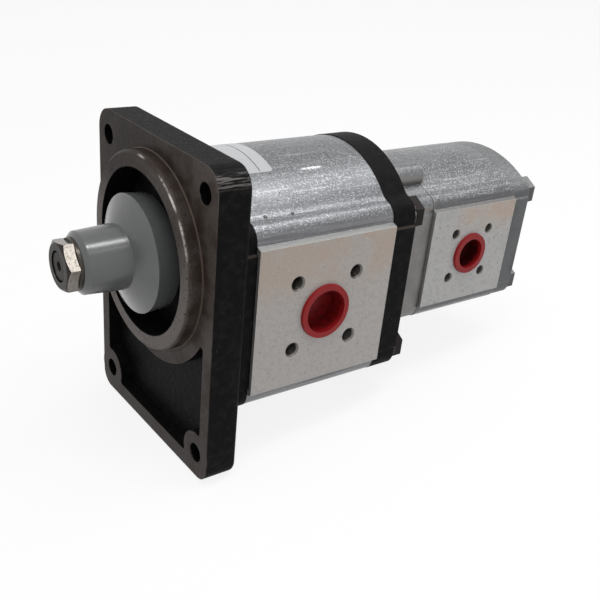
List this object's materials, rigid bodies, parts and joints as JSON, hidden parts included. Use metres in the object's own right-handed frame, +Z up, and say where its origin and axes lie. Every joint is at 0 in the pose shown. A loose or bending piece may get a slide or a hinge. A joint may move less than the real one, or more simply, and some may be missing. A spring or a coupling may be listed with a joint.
{
  "type": "tandem gear pump",
  "caption": "Tandem gear pump: a large and a small gear pump in line on one shaft, with a rectangular mounting flange and flanged side ports.",
  "frame": {"origin": "shaft axis in the flange's mounting face", "axes": "+X along the shaft towards the rear pump, -Y towards the port faces seen in the picture, +Z up from the driven gears to the shaft"},
  "size_m": [0.2994, 0.1266, 0.173],
  "materials": {
    "black_iron": "black painted casting with machined faces",
    "extruded_aluminium": "raw extrusion with milled port faces",
    "cast_aluminium": "dull raw casting",
    "steel": "machined",
    "black_steel": "black oxide",
    "bearing_bronze": "plain",
    "grey_plastic": "satin moulded",
    "red_plastic": "satin moulded",
    "black_rubber": "plain"
  },
  "bodies": {
    "housing": {"front_cover": "black_iron", "front_body": "extruded_aluminium", "middle_cover": "black_iron", "adapter_plate": "cast_aluminium", "rear_body": "extruded_aluminium", "rear_cover": "cast_aluminium", "front_pump_front_bearing": "cast_aluminium", "front_pump_rear_bearing": "cast_aluminium", "front_pump_bushes": "bearing_bronze", "front_body_seals": "black_rubber", "front_balance_seals": "black_rubber", "rear_pump_front_bearing": "cast_aluminium", "rear_pump_rear_bearing": "cast_aluminium", "rear_pump_bushes": "bearing_bronze", "rear_body_seals": "black_rubber", "rear_balance_seals": "black_rubber", "shaft_seal": "black_rubber", "seal_retaining_ring": "steel", "front_bolt_washers": "black_steel", "front_bolts": "black_steel", "rear_bolts": "steel", "adapter_screws": "steel", "front_dowels": "steel", "rear_dowels": "steel", "front_port_plug_right": "red_plastic", "front_port_plug_left": "red_plastic", "rear_port_plug_right": "red_plastic", "rear_port_plug_left": "red_plastic"},
    "drive_train": {"drive_shaft": "steel", "shaft_key": "steel", "shaft_guard": "grey_plastic", "shaft_washer": "steel", "shaft_nut": "steel", "coupling_sleeve": "steel", "rear_drive_gear": "steel"},
    "front_driven": {"front_driven_gear": "steel"},
    "rear_driven": {"rear_driven_gear": "steel"}
  },
  "joints": [
    {"name": "drive_spin", "type": "hinge", "parent": "housing", "child": "drive_train", "pos_m": [0, 0, 0], "axis": [1, 0, 0], "continuous": true},
    {"name": "front_driven_spin", "type": "hinge", "parent": "housing", "child": "front_driven", "pos_m": [0, 0, -0.05], "axis": [1, 0, 0], "continuous": true},
    {"name": "rear_driven_spin", "type": "hinge", "parent": "housing", "child": "rear_driven", "pos_m": [0, 0, -0.031], "axis": [1, 0, 0], "continuous": true}
  ],
  "couplings": [
    {"joint": "front_driven_spin", "follows": "drive_spin", "ratio": -1},
    {"joint": "rear_driven_spin", "follows": "drive_spin", "ratio": -1}
  ]
}
